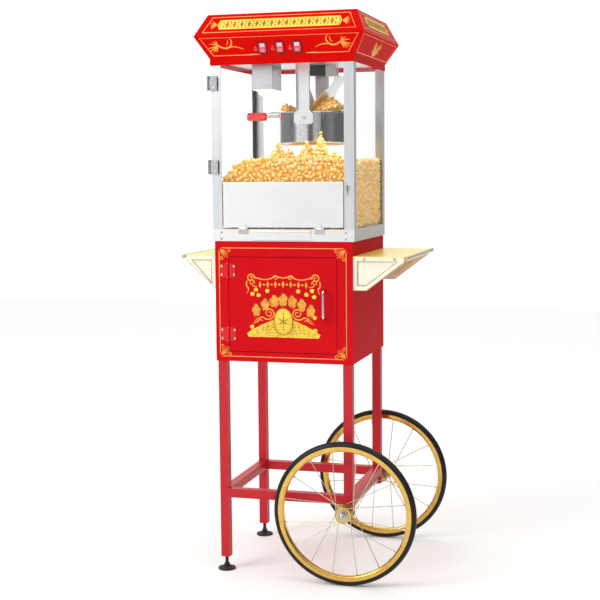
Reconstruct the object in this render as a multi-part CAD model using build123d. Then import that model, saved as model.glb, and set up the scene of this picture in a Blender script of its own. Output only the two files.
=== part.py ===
"""Popcorn cart: a glass popper case with a hanging kettle, on a cabinet with legs and two spoked wheels.

Millimetres, +Z up, the front faces -Y. The floor is z = 0 and the origin is under the middle of the
whole cart, so cabinet-centred shapes are shifted along X as they are saved.
"""
from build123d import *
import math
import os

# ---------------------------------------------------------------- driving dimensions
cabinet_w = 400.0
cabinet_d = 400.0
cabinet_z0 = 613.0
cabinet_z1 = 954.0
sheet = 1.5

case_w = 410.0
case_d = 396.5
base_z1 = 988.0
band_z0 = 1444.0
band_z1 = 1462.0
rim_z = 1522.0
hood_z1 = 1584.0
rim_over_x = 37.5
rim_over_y = 35.0
hood_top_grow_x = 8.0
hood_top_grow_y = -6.5
band_over = 1.8
ceiling_z = 1456.0

leg = 25.4
leg_inset = 4.0
leg_wall = 1.6
left_leg_z0 = 39.0
right_leg_z0 = 189.0
stretcher_z0 = 215.0

wheel_r = 203.0
wheel_x = 185.6
wheel_y = 248.6
rim_r = 190.0
rim_inner_r = 175.0
rim_width = 20.0
tyre_width = 24.0
axle_r = 6.0
running_gap = 0.06
spoke_count = 16
spoke_r = 1.2
hub_half = 25.0

shelf_z = 914.0
right_shelf_w = 150.0
left_shelf_w = 96.0
gusset_h = 93.0
shelf_rod_r = 6.5

post = 28.0
post_wall = 2.0
glass = 3.0

door_x0, door_x1 = -160.0, 154.0
door_z0, door_z1 = 642.0, 909.0
door_gap = 1.5

kettle_x = 36.0
kettle_r = 97.0
kettle_z0 = 1222.0
kettle_z1 = 1316.0
kettle_wall = 1.5
kettle_flange_r = 128.0
pivot_z = 1299.0
lid_hinge_z = 1323.0
lid_hinge_dx = 10.0
lid_r = 94.0
lid_tip_r = 124.0
lid_tongue_half = 54.0

frame_x = ((cabinet_w / 2 + left_shelf_w + shelf_rod_r) - (wheel_x + wheel_r)) / 2
parts_dir = "parts"
os.makedirs(parts_dir, exist_ok=True)


# ---------------------------------------------------------------- helpers
def save(name, *solids):
    """Write one node, moved from the cabinet's centre line to the cart's own origin."""
    moved = [Pos(frame_x, 0, 0) * s for s in solids]
    node = moved[0] if len(moved) == 1 else Compound(children=moved)
    export_step(node, os.path.join(parts_dir, name + ".step"))


def block(x0, x1, y0, y1, z0, z1):
    """A box from its low and high corners."""
    size = (x1 - x0, y1 - y0, z1 - z0)
    return Pos((x0 + x1) / 2, (y0 + y1) / 2, (z0 + z1) / 2) * Box(*size)


def rod_z(x, y, z0, z1, r):
    return Pos(x, y, (z0 + z1) / 2) * Cylinder(r, z1 - z0)


def rod_y(x, z, y0, y1, r):
    return Pos(x, (y0 + y1) / 2, z) * Rot(90, 0, 0) * Cylinder(r, y1 - y0)


def rod_x(y, z, x0, x1, r):
    return Pos((x0 + x1) / 2, y, z) * Rot(0, 90, 0) * Cylinder(r, x1 - x0)


def rod_between(a, b, r):
    """A round bar from point a to point b."""
    a, b = Vector(*a), Vector(*b)
    plane = Plane(origin=a, z_dir=b - a)
    return extrude(plane * Circle(r), amount=(b - a).length)


def front_plate(points, y0, y1):
    """A flat plate with an outline in X and Z, between two Y planes."""
    outline = make_face(Polyline([(x, y0, z) for x, z in points], close=True))
    return extrude(outline, amount=y1 - y0, dir=(0, 1, 0))


def mirror_y(shape):
    return mirror(shape, about=Plane.XZ)


def screw_heads(places, y):
    """Domed pan heads standing out of a front face at y."""
    heads = []
    for x, z in places:
        head = fillet(rod_y(x, z, y - 2.2, y, 3.6).edges().sort_by(Axis.Y)[0], 1.4)
        heads.append(head)
    return heads


# ---------------------------------------------------------------- legs and stretchers
leg_out_x = cabinet_w / 2 - leg_inset
leg_out_y = cabinet_d / 2 - leg_inset
leg_mid_x = leg_out_x - leg / 2
leg_mid_y = leg_out_y - leg / 2
stud_r = 5.0


def tube_leg(side_x, side_y, z0):
    x, y = side_x * leg_mid_x, side_y * leg_mid_y
    half, bore = leg / 2, leg / 2 - leg_wall
    tube = block(x - half, x + half, y - half, y + half, z0, cabinet_z0)
    return tube - block(x - bore, x + bore, y - bore, y + bore, z0 + 4, cabinet_z0)


def make_legs():
    for side_y, end in ((-1, "front"), (1, "back")):
        left = tube_leg(-1, side_y, left_leg_z0)
        left -= rod_z(-leg_mid_x, side_y * leg_mid_y, left_leg_z0, left_leg_z0 + 4, stud_r + running_gap)
        save("leg_left_" + end, left)
        right = tube_leg(1, side_y, right_leg_z0)
        y = side_y * leg_mid_y
        right -= rod_y(wheel_x, wheel_r, y - leg, y + leg, axle_r)
        save("leg_right_" + end, right)


def make_stretchers():
    z0, z1 = stretcher_z0, stretcher_z0 + leg
    inner_x, inner_y = leg_out_x - leg, leg_out_y - leg
    bars = []
    for side in (-1, 1):
        y0, y1 = sorted((side * inner_y, side * leg_out_y))
        bar = block(-inner_x, inner_x, y0, y1, z0, z1)
        hollow = block(-inner_x, inner_x, y0 + leg_wall, y1 - leg_wall, z0 + leg_wall, z1 - leg_wall)
        bars.append(bar - hollow)
        x0, x1 = sorted((side * inner_x, side * leg_out_x))
        bar = block(x0, x1, -inner_y, inner_y, z0, z1)
        hollow = block(x0 + leg_wall, x1 - leg_wall, -inner_y, inner_y, z0 + leg_wall, z1 - leg_wall)
        bars.append(bar - hollow)
    save("stretchers", *bars)


def make_feet():
    for side_y, end in ((-1, "front"), (1, "back")):
        x, y = -leg_mid_x, side_y * leg_mid_y
        pad = rod_z(x, y, 0, 5, 25) + Pos(x, y, 7) * Cone(25, 13, 4) + rod_z(x, y, 9, 12, 9)
        nut = extrude(Pos(x, y, 12) * RegularPolygon(8, 6), amount=6)
        stud = rod_z(x, y, 12, left_leg_z0 + 22, stud_r)
        save("foot_" + end, pad + nut + stud)


# ---------------------------------------------------------------- wheels and axle
def make_axle():
    reach = wheel_y + hub_half + 6
    axle = rod_y(wheel_x, wheel_r, -reach, reach, axle_r)
    collar_y = wheel_y - hub_half - 1
    for side in (-1, 1):
        y0, y1 = sorted((side * (leg_out_y + 0.5), side * collar_y))
        axle += rod_y(wheel_x, wheel_r, y0, y1, 9)
    save("axle", axle)
    nuts = []
    nut_y = wheel_y + hub_half + 0.6
    for side in (-1, 1):
        washer = rod_y(wheel_x, wheel_r, nut_y, nut_y + 1.5, 12)
        plane = Plane(origin=(wheel_x, nut_y + 1.5, wheel_r), z_dir=(0, 1, 0))
        hexagon = extrude(plane * RegularPolygon(10.5, 6), amount=6)
        dome = Pos(wheel_x, nut_y + 5, wheel_r) * Sphere(8.6)
        dome &= rod_y(wheel_x, wheel_r, nut_y + 5, nut_y + 14, 8.6)
        nut = washer + hexagon + dome
        nut -= rod_y(wheel_x, wheel_r, nut_y - 1, reach, axle_r)
        nuts.append(nut if side > 0 else mirror_y(nut))
    save("axle_cap_nuts", *nuts)


def wheel_rim():
    outer = rod_y(0, 0, -rim_width / 2, rim_width / 2, rim_r)
    ring = outer - rod_y(0, 0, -rim_width, rim_width, rim_inner_r)
    groove = rod_y(0, 0, -7, 7, rim_r + 1) - rod_y(0, 0, -8, 8, rim_r - 6)
    ring -= groove
    inner_edges = [e for e in ring.edges() if abs(e.length - 2 * math.pi * rim_inner_r) < 1]
    return fillet(inner_edges, 6)


def wheel_tyre():
    half = tyre_width / 2
    crown = wheel_r - 6
    profile = Polyline((rim_r - 5.8, -6.8), (rim_r + 0.3, -6.8), (rim_r + 0.3, -half), (crown - 4, -half))
    tread = ThreePointArc((crown - 4, -half), (wheel_r, 0), (crown - 4, half))
    back = Polyline((crown - 4, half), (rim_r + 0.3, half), (rim_r + 0.3, 6.8), (rim_r - 5.8, 6.8),
                    (rim_r - 5.8, -6.8))
    face = make_face(profile + tread + back)
    tyre = revolve(face, axis=Axis.Y)
    return tyre


def wheel_hub():
    half = hub_half
    hub = rod_y(0, 0, -half, half, 13)
    for side in (-1, 1):
        y0, y1 = sorted((side * (half - 6), side * (half - 3)))
        hub += rod_y(0, 0, y0, y1, 23)
        y0, y1 = sorted((side * (half - 3), side * half))
        hub += rod_y(0, 0, y0, y1, 16)
    return hub - rod_y(0, 0, -half - 1, half + 1, axle_r + running_gap)


def wheel_spokes():
    """Tangent spokes, laced in pairs on each flange so that a crossing pair passes on either side."""
    spokes = []
    flange_y = hub_half - 4.5
    lacing = math.radians(62)
    for i in range(spoke_count):
        rim_angle = 2 * math.pi * (i + 0.5) / spoke_count
        flange = -1 if i % 2 == 0 else 1
        turn = 1 if (i // 2) % 2 == 0 else -1
        hub_angle = rim_angle + turn * lacing
        y = flange * flange_y + turn * 2.9
        hub_end = (20.5 * math.cos(hub_angle), y, 20.5 * math.sin(hub_angle))
        reach = rim_inner_r + 1.5
        rim_end = (reach * math.cos(rim_angle), turn * 1.5, reach * math.sin(rim_angle))
        spokes.append(rod_between(hub_end, rim_end, spoke_r))
    return spokes


def make_wheels():
    rim, tyre, hub, spokes = wheel_rim(), wheel_tyre(), wheel_hub(), wheel_spokes()
    for side, end in ((-1, "front"), (1, "back")):
        place = Pos(wheel_x, side * wheel_y, wheel_r)

        def put(shape):
            return place * (shape if side < 0 else mirror_y(shape))

        save("wheel_tyre_" + end, put(tyre))
        save("wheel_rim_" + end, put(rim))
        save("wheel_hub_" + end, put(hub))
        save("wheel_spokes_" + end, *[put(s) for s in spokes])


# ---------------------------------------------------------------- cabinet
half_w, half_d = cabinet_w / 2, cabinet_d / 2


def make_cabinet():
    sides = []
    for x in (-half_w, half_w - sheet):
        sides.append(block(x, x + sheet, -half_d, half_d, cabinet_z0, cabinet_z1))
    save("cabinet_sides", *sides)
    inner = half_w - sheet
    save("cabinet_back", block(-inner, inner, half_d - sheet, half_d, cabinet_z0, cabinet_z1))
    y0, y1 = -half_d + sheet, half_d - sheet
    floor = block(-inner, inner, y0, y1, cabinet_z0, cabinet_z0 + sheet)
    top = block(-inner, inner, y0, y1, cabinet_z1 - sheet, cabinet_z1)
    save("cabinet_decks", floor, top)
    front = block(-inner, inner, -half_d, -half_d + sheet, cabinet_z0, cabinet_z1)
    gap = door_gap
    front -= block(door_x0 - gap, door_x1 + gap, -half_d - 1, -half_d + 5, door_z0 - gap, door_z1 + gap)
    save("cabinet_front_frame", front)


def make_cabinet_door():
    """A pan door: a face with edges folded back."""
    flange = 14.0
    y0 = -half_d
    door = block(door_x0, door_x1, y0, y0 + flange, door_z0, door_z1)
    t = sheet
    door -= block(door_x0 + t, door_x1 - t, y0 + t, y0 + flange + 1, door_z0 + t, door_z1 - t)
    save("cabinet_door", door)


hinge_x = door_x0 - 2.5
hinge_y = -half_d - 3.4
hinge_spans = ((670.0, 710.0), (851.0, 891.0))
hinge_knuckle_r = 3.2
hinge_pin_r = 1.6
hinge_leaf = 22.0
knuckle_gap = 0.2


def make_door_hinges():
    fixed, moving, pins = [], [], []
    leaf_y0, leaf_y1 = -half_d - 1.4, -half_d
    for z0, z1 in hinge_spans:
        third = (z1 - z0) / 3
        low, high = z0 + third, z1 - third
        bore = rod_z(hinge_x, hinge_y, z0 - 1, z1 + 1, hinge_pin_r + running_gap)
        outer = rod_z(hinge_x, hinge_y, z0, low - knuckle_gap, hinge_knuckle_r)
        outer += rod_z(hinge_x, hinge_y, high + knuckle_gap, z1, hinge_knuckle_r)
        leaf = block(hinge_x - hinge_leaf, hinge_x, leaf_y0, leaf_y1, z0, z1)
        leaf -= rod_z(hinge_x, hinge_y, low - knuckle_gap, high + knuckle_gap, hinge_knuckle_r + 0.3)
        a, b = low - knuckle_gap, high + knuckle_gap
        leaf -= block(hinge_x - 2.5, hinge_x + 1, leaf_y0 - 1, leaf_y1 + 1, a, b)
        fixed.append(leaf + outer - bore)
        middle = rod_z(hinge_x, hinge_y, low + knuckle_gap, high - knuckle_gap, hinge_knuckle_r)
        leaf = block(hinge_x, hinge_x + hinge_leaf, leaf_y0, leaf_y1, z0, z1)
        for a, b in ((z0 - 1, low + knuckle_gap), (high - knuckle_gap, z1 + 1)):
            leaf -= block(hinge_x - 1, hinge_x + 3.6, leaf_y0 - 1, leaf_y1 + 1, a, b)
        moving.append(leaf + middle - bore)
        pins.append(rod_z(hinge_x, hinge_y, z0 - 1.5, z1 + 1.5, hinge_pin_r)
                    + rod_z(hinge_x, hinge_y, z1, z1 + 1.5, hinge_knuckle_r - 0.6))
    save("door_hinge_fixed_leaves", *fixed)
    save("door_hinge_moving_leaves", *moving)
    save("door_hinge_pins", *pins)
    offset = 17.5
    heights = [z for z0, z1 in hinge_spans for z in (z0 + 8, z1 - 8)]
    save("door_screws", *screw_heads([(hinge_x + offset + 2, z) for z in heights], leaf_y0))
    return screw_heads([(hinge_x - offset, z) for z in heights], leaf_y0)


def make_door_furniture():
    x, z0, z1 = 120.5, 741.0, 819.0
    stand_off, bar_r, bend_r = 20.0, 3.5, 9.0
    y_face, y_bar = -half_d, -half_d - stand_off
    path = FilletPolyline((x, y_face, z0), (x, y_bar, z0), (x, y_bar, z1), (x, y_face, z1), radius=bend_r)
    pull = sweep(Plane(origin=(x, y_face, z0), z_dir=(0, -1, 0)) * Circle(bar_r), path=path)
    save("door_pull", pull)
    catch_z0, catch_z1 = 765.0, 795.0
    catch = block(door_x1 + 4, door_x1 + 30, -half_d + sheet, -half_d + 16, catch_z0, catch_z1)
    save("door_magnet_catch", catch)


# ---------------------------------------------------------------- side shelves
def shelf_gusset(side, width, flat, y0):
    """A pressed three-cornered side, with a sunk panel inside a raised border."""
    depth, web, border = 7.0, 1.6, 12.0
    x_wall = half_w + 0.1
    z_top, z_low = shelf_z - sheet, shelf_z - sheet - gusset_h
    tip = x_wall + width - shelf_rod_r - 1
    tip_drop = 14.0
    outline = [(x_wall, z_top), (tip, z_top), (tip, z_top - tip_drop)]
    outline += [(x_wall + flat, z_low), (x_wall, z_low)]
    plate = front_plate([(side * x, z) for x, z in outline], y0, y0 + depth)
    slope = (gusset_h - tip_drop) / (tip - x_wall - flat)
    sunk_z0 = z_low + border + 2
    sunk_z1 = z_top - border
    x_low = x_wall + flat + (sunk_z0 - z_low - border * math.hypot(1, slope)) / slope
    x_high = x_wall + flat + (sunk_z1 - z_low - border * math.hypot(1, slope)) / slope
    sunk = [(x_wall + border, sunk_z0), (max(x_low, x_wall + border + 1), sunk_z0), (x_high, sunk_z1),
            (x_wall + border, sunk_z1)]
    sunk = [(side * x, z) for x, z in sunk]
    plate -= front_plate(sunk, y0 - 1, y0 + (depth - web) / 2)
    plate -= front_plate(sunk, y0 + (depth + web) / 2, y0 + depth + 1)
    return plate


def make_shelves():
    plates, gussets, rods = [], [], []
    for side, width, flat in ((1, right_shelf_w, 38.0), (-1, left_shelf_w, 2.0)):
        x0, x1 = half_w + 0.1, half_w + width - shelf_rod_r
        y_end = half_d - 4
        x_pair = sorted((side * x0, side * x1))
        plates.append(block(*x_pair, -y_end, y_end, shelf_z - sheet, shelf_z))
        for y0 in (-y_end, y_end - 7):
            gussets.append(shelf_gusset(side, width, flat, y0))
        x_rod = side * (half_w + width)
        rod = rod_y(x_rod, shelf_z - shelf_rod_r + 2, -y_end - 1.5, y_end + 1.5, shelf_rod_r)
        rods.append(fillet(rod.edges(), 1.5))
    save("shelf_plates", *plates)
    save("shelf_gussets", *gussets)
    save("shelf_handle_rods", *rods)
    front = screw_heads([(232, 907), (316, 907)], -half_d + 4)
    return front + [mirror_y(s) for s in front]


# ---------------------------------------------------------------- popper case
case_hw, case_hd = case_w / 2, case_d / 2
drawer_x0, drawer_x1 = -90.0, 81.0
drawer_z0, drawer_z1 = 956.5, 984.0
sieve_r, sieve_pitch = 4.0, 24
inlet_x, inlet_z = -151.0, 971.0


def make_base():
    t = 1.2
    pan = block(-case_hw, case_hw, -case_hd, case_hd, cabinet_z1, base_z1)
    pan -= block(-case_hw + t, case_hw - t, -case_hd + t, case_hd - t, cabinet_z1 + t, base_z1 + 1)
    pan -= block(drawer_x0 + 2, drawer_x1 - 2, -case_hd - 1, -case_hd + 3, drawer_z0 - 0.8, drawer_z1 - 2)
    save("base_pan", pan)
    x0, x1 = drawer_x0 + 3, drawer_x1 - 3
    tray_back = 130.0
    tray = block(x0, x1, -case_hd - 1, tray_back, drawer_z0, drawer_z1 - 3)
    tray -= block(x0 + t, x1 - t, -case_hd + t, tray_back - t, drawer_z0 + t, drawer_z1)
    tray += block(drawer_x0, drawer_x1, -case_hd - 1.6, -case_hd - 0.3, drawer_z0, drawer_z1)
    lip = rod_x(-case_hd - 3.2, drawer_z1 - 1.2, drawer_x0, drawer_x1, 2.2)
    save("kernel_drawer", tray + lip)
    floor = block(-case_hw + 3, case_hw - 3, -case_hd + 3, case_hd - 3, base_z1 - 1.4, base_z1)
    holes = []
    for x in range(-60, 61, sieve_pitch):
        for y in range(-120, 61, sieve_pitch):
            holes.append(Pos(x, y, base_z1 - 0.7) * Cylinder(sieve_r, 4))
    save("popcorn_floor", floor - holes)
    x, z = inlet_x, inlet_z
    inlet = block(x - 14, x + 14, case_hd, case_hd + 6, z - 11, z + 11)
    inlet -= block(x - 11, x + 11, case_hd + 1.5, case_hd + 7, z - 8, z + 8)
    for dx in (-6, 0, 6):
        inlet += block(x + dx - 1, x + dx + 1, case_hd + 1, case_hd + 5, z - 3, z + 3)
    save("power_inlet", inlet)


def corner_post(side_x, side_y, z0, z1):
    a, b = case_hw, case_hd
    x0, x1 = sorted((side_x * (a - post), side_x * a))
    y0, y1 = sorted((side_y * (b - post), side_y * b))
    bar = block(x0, x1, y0, y1, z0, z1)
    x0, x1 = sorted((side_x * (a - post - 1), side_x * (a - post_wall)))
    y0, y1 = sorted((side_y * (b - post - 1), side_y * (b - post_wall)))
    return bar - block(x0, x1, y0, y1, z0 - 1, z1 + 1)


def make_case():
    save("case_posts", *[corner_post(sx, sy, base_z1, band_z0 + 6) for sx in (-1, 1) for sy in (-1, 1)])
    x = case_hw - post_wall - 0.4
    y_in = case_hd - post_wall - 0.4
    side_len = y_in - glass - 0.4
    panes = []
    for side in (-1, 1):
        x0, x1 = sorted((side * (x - glass), side * x))
        panes.append(block(x0, x1, -side_len, side_len, base_z1, ceiling_z - 2))
    panes.append(block(-x, x, y_in - glass, y_in, base_z1, ceiling_z - 2))
    save("glass_panes", *panes)
    x, y = case_hw - 2, case_hd - 2
    save("ceiling_plate", block(-x, x, -y, y, ceiling_z, ceiling_z + sheet))


def hood_solid(shrink):
    """The hood's outside, or its inside when it is shrunk by the sheet's thickness."""
    def ring(z, grow_x, grow_y):
        return Pos(0, 0, z) * Rectangle(case_w + 2 * (grow_x - shrink), case_d + 2 * (grow_y - shrink))

    z_low = band_z0 - (1 if shrink else 0)
    band = extrude(ring(z_low, band_over, band_over), amount=band_z1 - z_low)
    flare = loft([ring(band_z1, band_over, band_over), ring(rim_z, rim_over_x, rim_over_y)])
    crown_top = ring(hood_z1 - shrink, hood_top_grow_x, hood_top_grow_y)
    crown = loft([ring(rim_z, rim_over_x, rim_over_y), crown_top])
    return band + flare + crown


switch_x = (-48.0, 1.5, 51.0)
switch_z = 1487.0
flare_angle = math.atan2(rim_over_y - band_over, rim_z - band_z1)
switch_y = -case_hd - band_over - (switch_z - band_z1) * math.tan(flare_angle)
switch_w, switch_h = 19.0, 28.5


def switch_plane(x):
    normal = (0, -math.cos(flare_angle), -math.sin(flare_angle))
    return Plane(origin=(x, switch_y, switch_z), x_dir=(1, 0, 0), z_dir=normal)


def on_switch(x, w, h, z0, z1):
    return extrude(switch_plane(x).offset(z0) * Rectangle(w, h), amount=z1 - z0)


def make_hood():
    hood = hood_solid(0) - hood_solid(1.5)
    for x in switch_x:
        hood -= on_switch(x, switch_w + 2.4, switch_h + 2.4, -6, 6)
    save("hood_shell", hood)
    bezels = []
    for x in switch_x:
        bezel = on_switch(x, switch_w + 5.5, switch_h + 6, 0.1, 2.2)
        bezel += on_switch(x, switch_w + 2, switch_h + 2, -18, 2.2)
        bezel -= on_switch(x, switch_w, switch_h, -16, 3)
        bezels.append(bezel)
    save("switch_bezels", *bezels)
    for x, name in zip(switch_x, ("left", "middle", "right")):
        save("rocker_" + name, rocker(x))


rocker_tilt = 7.0
rocker_depth = 5.0


def rocker(x):
    """A two-position rocker, modelled with its upper edge pressed in."""
    plane = switch_plane(x)
    w, h = switch_w - 1.4, switch_h - 2.4
    outline = [(-h / 2, -4), (-h / 2, 6.5), (0, 5.2), (h / 2, 6.5), (h / 2, -4), (5, -7), (-5, -7)]
    face = make_face(Polyline([(0, y, z) for y, z in outline], close=True))
    body = extrude(face, amount=w / 2, dir=(1, 0, 0), both=True)
    return plane.location * Pos(0, 0, -rocker_depth + 1.2) * Rot(-rocker_tilt, 0, 0) * body


# ---------------------------------------------------------------- glass door, serving panel and latch
glass_hinge_x, glass_hinge_y = -211.0, -204.0
glass_hinge_spans = ((1142.0, 1182.0), (1375.0, 1415.0))
glass_pin_r, glass_knuckle_r, glass_knuckle_end = 2.0, 4.2, 10.0
door_pane_y0, door_pane_y1 = -204.0, -200.0
door_pane_x0, door_pane_x1 = -203.0, 186.0
door_pane_z0, door_pane_z1 = 1122.0, 1440.0
bracket_t = 1.8
panel_x = 174.0
panel_z0, panel_z1 = 991.0, 1119.0
panel_pin_y, panel_pin_z = -case_hd - 3.6, 990.0
panel_hinge_x = (-115.0, 106.0)


def make_glass_door():
    """A bare pane on two bracket hinges at its left edge. Returns the fixed halves of the hinges."""
    y0, y1 = door_pane_y0, door_pane_y1
    save("glass_door", block(door_pane_x0, door_pane_x1, y0, y1, door_pane_z0, door_pane_z1))
    x, y = glass_hinge_x, glass_hinge_y
    end = glass_knuckle_end
    leaves, fixed = [], []
    for z0, z1 in glass_hinge_spans:
        bore = rod_z(x, y, z0 - 1, z1 + 1, glass_pin_r + running_gap)
        knuckle = rod_z(x, y, z0 + end + knuckle_gap, z1 - end - knuckle_gap, glass_knuckle_r)
        leaf = block(x + 1.5, x + 25, door_pane_y0 - 1.6, door_pane_y0, z0, z1)
        for a, b in ((z0 - 1, z0 + end + knuckle_gap), (z1 - end - knuckle_gap, z1 + 1)):
            leaf -= block(x - 1, x + 4.6, y - 8, y + 8, a, b)
        heads = screw_heads([(x + 17, z0 + 7), (x + 17, z1 - 7)], door_pane_y0 - 1.6)
        leaves.append(leaf + knuckle - bore + heads)
        pin = rod_z(x, y, z0, z1, glass_pin_r)
        outer = rod_z(x, y, z0, z0 + end - knuckle_gap, glass_knuckle_r)
        outer += rod_z(x, y, z1 - end + knuckle_gap, z1, glass_knuckle_r)
        plate = block(-case_hw - bracket_t, -case_hw, -case_hd + 0.5, -case_hd + 24, z0, z1)
        arms = []
        for a, b in ((z0, z0 + end - knuckle_gap), (z1 - end + knuckle_gap, z1)):
            arms.append(block(x, -case_hw - 1.0, y + 1, -case_hd + 3, a, b))
        fixed.append(plate + outer + pin + arms)
    save("glass_door_hinge_leaves", *leaves)
    return fixed


def make_serving_panel():
    t, fold = 1.2, 9.0
    y0 = -case_hd
    panel = block(-panel_x, panel_x, y0, y0 + fold, panel_z0 + 2, panel_z1)
    panel -= block(-panel_x + t, panel_x - t, y0 + t, y0 + fold + 1, panel_z0 + 2 + t, panel_z1 - t)
    panel += rod_x(y0 + 1.5, panel_z1 - 1.5, -panel_x, panel_x, 2.2)
    fixed = []
    for x in panel_hinge_x:
        bore = rod_x(panel_pin_y, panel_pin_z, x - 20, x + 20, 1.6 + running_gap)
        knuckle = rod_x(panel_pin_y, panel_pin_z, x - 6, x + 6, 3.2)
        tab = block(x - 6, x + 6, y0 - 1.6, y0, panel_pin_z + 1, panel_z0 + 14)
        panel += (tab + knuckle) - bore
        ears = rod_x(panel_pin_y, panel_pin_z, x - 14, x - 6.3, 3.2)
        ears += rod_x(panel_pin_y, panel_pin_z, x + 6.3, x + 14, 3.2)
        pin = rod_x(panel_pin_y, panel_pin_z, x - 14, x + 14, 1.6)
        plate = block(x - 14, x + 14, y0 - 1.6, y0, panel_pin_z - 16, panel_pin_z - 5)
        for a, b in ((x - 14, x - 6.3), (x + 6.3, x + 14)):
            plate += block(a, b, y0 - 1.6, y0, panel_pin_z - 6, panel_pin_z)
        fixed.append(plate + ears + pin)
    save("serving_panel", panel)
    return fixed


def make_panel_latch():
    """A turn knob whose tongue points down at rest, clear of the serving panel."""
    x, z = 184.0, 1101.0
    y0 = -case_hd - 0.5
    knob = rod_y(x, z, y0 - 3, y0, 8)
    knob += block(x - 2.6, x + 2.6, y0 - 10, y0 - 2, z - 8, z + 8)
    knob += block(x - 3, x + 3, y0 - 2.8, y0 - 1.0, z - 20, z)
    save("panel_latch", knob)


# ---------------------------------------------------------------- kettle, hanger, lamp and popcorn
def make_kettle():
    x = kettle_x
    pot = rod_z(x, 0, kettle_z0, kettle_z1, kettle_r)
    pot = fillet(pot.edges().sort_by(Axis.Z)[0], 10)
    cavity = rod_z(x, 0, kettle_z0 + kettle_wall, kettle_z1 + 5, kettle_r - kettle_wall)
    cavity = fillet(cavity.edges().sort_by(Axis.Z)[0], 8.5)
    flange = rod_z(x, 0, kettle_z1 - 1.5, kettle_z1 + 0.5, kettle_flange_r)
    flange &= block(x - 140, x + 140, -kettle_r, kettle_r, kettle_z1 - 3, kettle_z1 + 3)
    flange -= rod_z(x, 0, kettle_z1 - 3, kettle_z1 + 3, kettle_r)
    wings = [w for w in flange.solids() if w.volume > 100]
    bore = rod_z(x, 0, kettle_z1 - 10, kettle_z1 + 10, 4 + running_gap)
    bridge = block(x - 5, x + 5, -kettle_r + 4, kettle_r - 4, kettle_z1, kettle_z1 + 2.5)
    bridge += rod_z(x, 0, kettle_z1 - 6, kettle_z1 + 4, 7.5)
    pieces = [pot - cavity] + wings
    for side in (-1, 1):
        y0, y1 = sorted((side * (kettle_r - 0.4), side * 107))
        pieces.append(rod_y(x, pivot_z, y0, y1, 5) - pot)
        y0, y1 = sorted((side * (lid_r - 3), side * (kettle_r - 0.2)))
        bridge += block(x - 15, x + 15, y0, y1, kettle_z1, lid_hinge_z + 4)
        pieces.append(rod_y(x + side * lid_hinge_dx, lid_hinge_z, -lid_r + 3, lid_r - 3, 2))
    save("kettle", *pieces, bridge - bore)
    wall = x - kettle_r
    stem = rod_x(0, kettle_z1 - 8, -106, wall + 0.4, 4)
    grip = fillet(rod_x(0, kettle_z1 - 8, -163, -105, 12).edges(), 4)
    save("kettle_handle_stem", stem + rod_x(0, kettle_z1 - 8, wall - 4, wall - 0.2, 6) - pot)
    save("kettle_handle_grip", grip - rod_x(0, kettle_z1 - 8, -110, -100, 4))
    shaft = rod_z(x, 0, kettle_z0 + 7, kettle_z1 + 12, 4)
    shaft += block(x - 7, x + 7, -2, 2, kettle_z1 + 8, kettle_z1 + 16)
    arms = [block(x - 78, x + 78, -3, 3, kettle_z0 + 3, kettle_z0 + 7)]
    arms += [block(x - 3, x + 3, *span, kettle_z0 + 3, kettle_z0 + 7) for span in ((-60, -3), (3, 60))]
    save("agitator", shaft, *arms)


lid_lean = {"left": 12.0, "right": 38.0}


def kettle_lid(side, lean):
    """A lid standing up from its hinge and leaning out. It is half round, with a tongue that reaches
    past the flange."""
    t = 1.2
    reach = lid_r - 4.5
    plate = rod_z(0, 0, 0, t, lid_r) & block(0, lid_r, -reach, reach, -1, t + 1)
    half = lid_tongue_half
    plate += rod_z(0, 0, 0, t, lid_tip_r) & block(10, lid_tip_r, -half, half, -1, t + 1)
    lid = Pos(0, 0, -3.4) * plate
    for y0, y1 in ((-lid_r + 5, -30), (30, lid_r - 5)):
        lid += rod_y(0, 0, y0, y1, 3.6)
    lid -= block(-5, 4.5, -30, 30, -5, 6)
    lid -= rod_y(0, 0, -lid_r, lid_r, 2 + running_gap)
    knob_x = lid_tip_r - 16
    lid += rod_z(knob_x, 0, -2.4, 8, 4) + rod_z(knob_x, 0, 8, 12, 7)
    turned = Rot(0, -(90 - lean), 0) * lid
    if side < 0:
        turned = mirror(turned, about=Plane.YZ)
    return Pos(kettle_x + side * lid_hinge_dx, 0, lid_hinge_z) * turned


def make_lids():
    save("kettle_lid_left", kettle_lid(-1, lid_lean["left"]))
    save("kettle_lid_right", kettle_lid(1, lid_lean["right"]))


def make_hanger():
    x = kettle_x
    wide, narrow = 28.0, 19.5
    z_low, z_step = 1281.0, 1309.0
    y_out, y_in, y_edge = -103.0, -100.5, -112.0
    outline = [(x - narrow, ceiling_z), (x + narrow, ceiling_z), (x + narrow, z_step + 10),
               (x + wide, z_step), (x + wide, z_low + 6), (x + wide - 6, z_low), (x - wide + 6, z_low),
               (x - wide, z_low + 6), (x - wide, z_step), (x - narrow, z_step + 10)]
    front = front_plate(outline, y_out, y_in)
    front -= rod_y(x, pivot_z, y_out - 7, y_in + 10, 5 + running_gap)
    front += block(x - narrow, x + narrow, y_out, y_out + 19, ceiling_z - sheet, ceiling_z)
    front += block(x - narrow, x - narrow + sheet, y_edge, y_out, z_step + 12, ceiling_z)
    front += block(x + narrow - sheet, x + narrow, y_edge, y_out, z_step + 12, ceiling_z)
    connector_box = block(58, 90, 62, 96, 1424, ceiling_z)
    save("kettle_hanger", front, mirror_y(front), connector_box)
    motor_x, motor_y, motor_r = 30.0, 79.0, 22.0
    gearbox = block(motor_x - 26, motor_x + 26, motor_y - 19, motor_y + 19, ceiling_z - 28, ceiling_z - 1.6)
    motor = rod_z(motor_x, motor_y, ceiling_z + 1.6, ceiling_z + 50, motor_r)
    save("drive_motor", gearbox, motor)


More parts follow.
